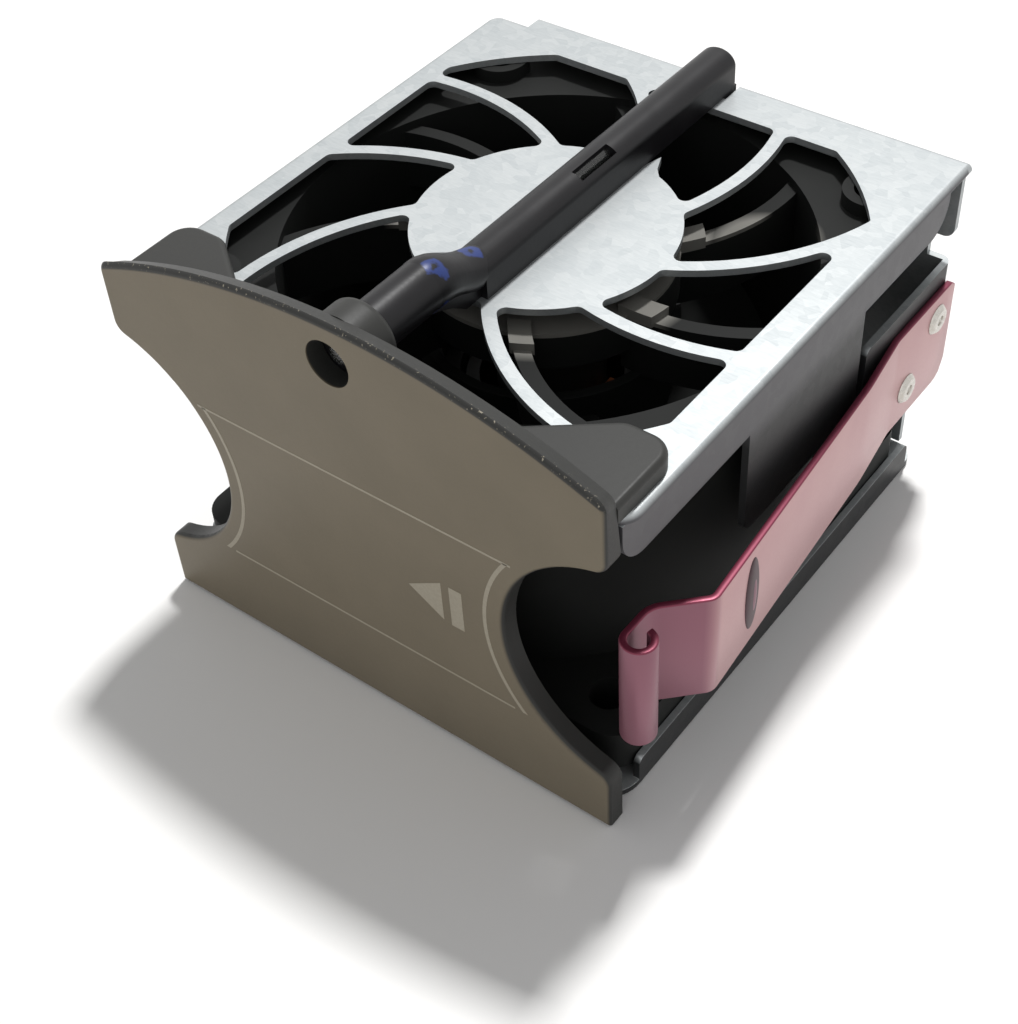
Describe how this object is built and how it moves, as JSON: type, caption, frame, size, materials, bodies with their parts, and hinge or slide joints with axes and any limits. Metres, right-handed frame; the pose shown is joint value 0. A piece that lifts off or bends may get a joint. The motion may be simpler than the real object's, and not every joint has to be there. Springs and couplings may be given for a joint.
{
  "type": "server fan module",
  "caption": "Hot-plug fan module for a rack server: an axial fan in a sheet metal cage with an arched front plate, a light tube and a sprung side latch.",
  "frame": {"origin": "on the fan axis, on the lower face of the lower guard, which is the air face that the module rests on here", "axes": "+Z along the fan axis towards the guard that carries the light tube, +Y from the face plate to the connector end, +X across to the latch side"},
  "size_m": [0.067, 0.0729, 0.053],
  "materials": {
    "bezel": "moulded dark grey-brown plastic, fine texture, slight sheen",
    "galvanised": "galvanised sheet steel, faint spangle",
    "latch_steel": "spring steel with a thin crimson lacquer, bright rubbed faces",
    "rivet_steel": "plain steel rivets",
    "tube_black": "black moulded plastic, smooth",
    "clear_pipe": "clear acrylic light pipe",
    "fan_black": "black glass-filled plastic",
    "yoke_steel": "drawn steel cup",
    "magnet": "bonded ferrite",
    "bearing_steel": "ground bearing steel",
    "bush_brass": "turned brass",
    "core_steel": "stacked electrical steel",
    "copper": "enamelled copper winding",
    "insulator": "natural nylon",
    "board_green": "glass-epoxy board with green mask",
    "conn_black": "black connector plastic",
    "contact_gold": "gold flashed contact",
    "led_white": "white LED body"
  },
  "bodies": {
    "chassis": {"face_plate": "bezel", "top_guard": "galvanised", "bottom_guard": "galvanised", "cage_rivets": "rivet_steel", "latch_mount": "latch_steel", "latch_rivets": "rivet_steel", "light_tube": "tube_black", "light_pipe": "clear_pipe", "fan_housing": "fan_black", "lower_bearing": "bearing_steel", "upper_bearing": "bearing_steel", "bearing_bush": "bush_brass", "stator_core": "core_steel", "stator_coils": "copper", "stator_insulator": "insulator", "motor_board": "board_green", "connector_housing": "conn_black", "connector_contacts": "contact_gold", "connector_board": "board_green", "status_led": "led_white"},
    "rotor": {"impeller": "fan_black", "rotor_yoke": "yoke_steel", "magnet_ring": "magnet", "rotor_shaft": "bearing_steel", "retaining_ring": "rivet_steel", "preload_spring": "rivet_steel"},
    "latch": {"latch_arm": "latch_steel"}
  },
  "joints": [
    {"name": "rotor_spin", "type": "hinge", "parent": "chassis", "child": "rotor", "pos_m": [0, 0, 0.02], "axis": [0, 0, 1], "continuous": true},
    {"name": "latch_press", "type": "hinge", "parent": "chassis", "child": "latch", "pos_m": [0.03214, 0.0182, 0.02045], "axis": [0, 0, 1], "range_deg": [-4.5, 0], "stiffness_Nm_per_rad": 4}
  ]
}
